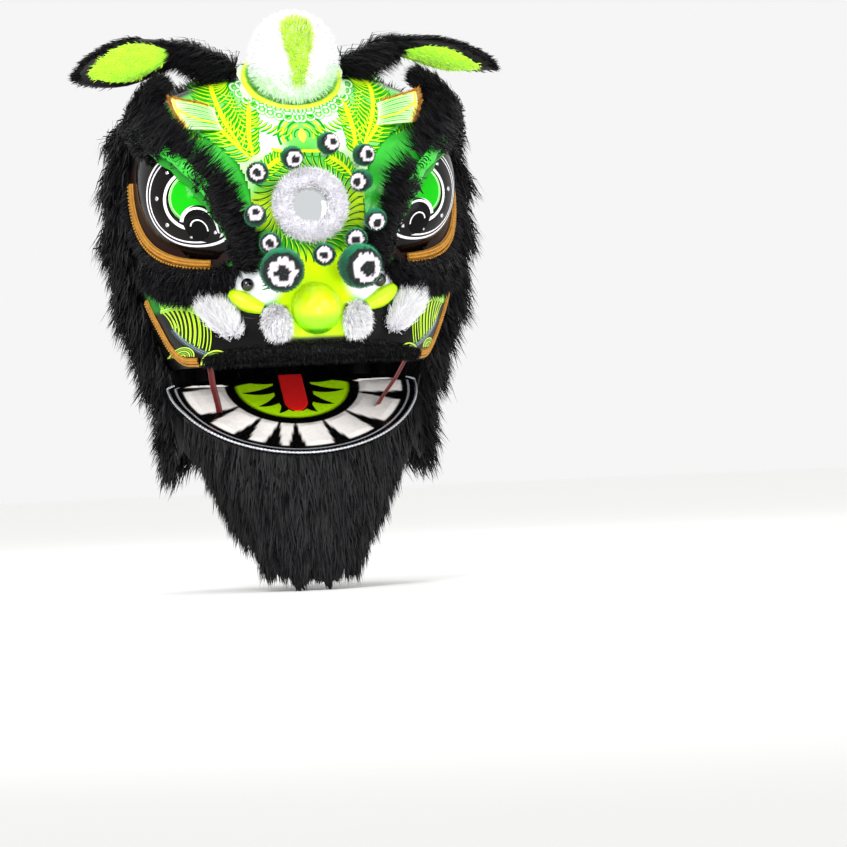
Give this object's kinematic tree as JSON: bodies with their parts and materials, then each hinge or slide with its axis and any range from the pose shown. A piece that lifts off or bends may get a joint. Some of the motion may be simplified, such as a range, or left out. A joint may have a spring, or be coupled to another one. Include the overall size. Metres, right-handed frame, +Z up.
{
  "type": "lion dance head",
  "caption": "Lion dance head with a hinged jaw, flapping ears and blinking eyelids, in black and white fur, lime paint, gold braid and velvet pompoms.",
  "frame": {"origin": "middle of the open underside of the shell, where the wearer's head goes in", "axes": "the face looks along -Y, +Z is up through the crown and +X is towards the right ear as seen from the front"},
  "size_m": [0.8414, 0.7257, 1.1255],
  "materials": {
    "shell": "painted papier-mache, satin gloss",
    "lime": "gloss lime paint",
    "satin": "green satin",
    "velvet": "green velvet",
    "fur": "black long-pile fur",
    "white_fur": "white fur",
    "gold": "gold metallic braid",
    "eye": "black lacquer",
    "black": "black gloss",
    "mirror": "mirror glass",
    "teeth": "painted papier-mache",
    "red": "red felt",
    "ribbon": "red satin ribbon",
    "leaf": "orange felt",
    "silver": "silver cord"
  },
  "bodies": {
    "head": {"head_shell": "shell", "forehead_plate_left": "shell", "forehead_plate_right": "shell", "nose": "lime", "horn_patch": "lime", "horn_collar": "lime", "nostril_wing_left": "lime", "nostril_wing_right": "lime", "brow_ribbon_left": "satin", "brow_ribbon_right": "satin", "pompom_01": "velvet", "pompom_02": "velvet", "pompom_03": "velvet", "pompom_04": "velvet", "pompom_05": "velvet", "pompom_06": "velvet", "pompom_07": "velvet", "pompom_08": "velvet", "pompom_09": "velvet", "pompom_10": "velvet", "big_pompom_left": "velvet", "big_pompom_right": "velvet", "brow_left": "fur", "brow_right": "fur", "under_eye_fur_left": "fur", "under_eye_fur_right": "fur", "lip_fur": "fur", "mane_left": "fur", "mane_right": "fur", "mirror_fur": "white_fur", "horn": "white_fur", "nostril_fur_left": "white_fur", "nostril_fur_right": "white_fur", "inner_nostril_left": "white_fur", "inner_nostril_right": "white_fur", "eye_braid_left": "gold", "eye_braid_right": "gold", "cheek_braid_left": "gold", "cheek_braid_right": "gold", "eye_left": "eye", "eye_right": "eye", "pupil_left": "black", "pupil_right": "black", "nose_bead_left": "black", "nose_bead_right": "black", "jaw_hinge_rod": "black", "mirror": "mirror", "ribbon_left": "ribbon", "ribbon_right": "ribbon", "side_leaf": "leaf"},
    "jaw": {"jaw": "teeth", "tongue": "red", "jaw_rim": "silver", "beard": "fur"},
    "ear_left": {"ear_left": "fur", "ear_lining_left": "lime"},
    "ear_right": {"ear_right": "fur", "ear_lining_right": "lime"},
    "eyelid_left": {"eyelid_left": "satin"},
    "eyelid_right": {"eyelid_right": "satin"}
  },
  "joints": [
    {"name": "jaw_hinge", "type": "hinge", "parent": "head", "child": "jaw", "pos_m": [0, -0.02, 0.014], "axis": [1, 0, 0], "range_deg": [-30, 0], "deforming": ["ribbon_left", "ribbon_right"]},
    {"name": "ear_left_flap", "type": "hinge", "parent": "head", "child": "ear_left", "pos_m": [-0.11467, -0.02259, 0.58893], "axis": [0, 1, 0], "range_deg": [-8, 25], "stiffness_Nm_per_rad": 1.5},
    {"name": "ear_right_flap", "type": "hinge", "parent": "head", "child": "ear_right", "pos_m": [0.1146, -0.02253, 0.58899], "axis": [0, -1, 0], "range_deg": [-8, 25], "stiffness_Nm_per_rad": 1.5},
    {"name": "eyelid_left_blink", "type": "hinge", "parent": "head", "child": "eyelid_left", "pos_m": [-0.18686, -0.12054, 0.324], "axis": [0.4871, -0.5122, -0.7074], "range_deg": [0, 58], "stiffness_Nm_per_rad": 0.8},
    {"name": "eyelid_right_blink", "type": "hinge", "parent": "head", "child": "eyelid_right", "pos_m": [0.18686, -0.12054, 0.324], "axis": [0.4871, 0.5122, 0.7074], "range_deg": [0, 58], "stiffness_Nm_per_rad": 0.8}
  ]
}
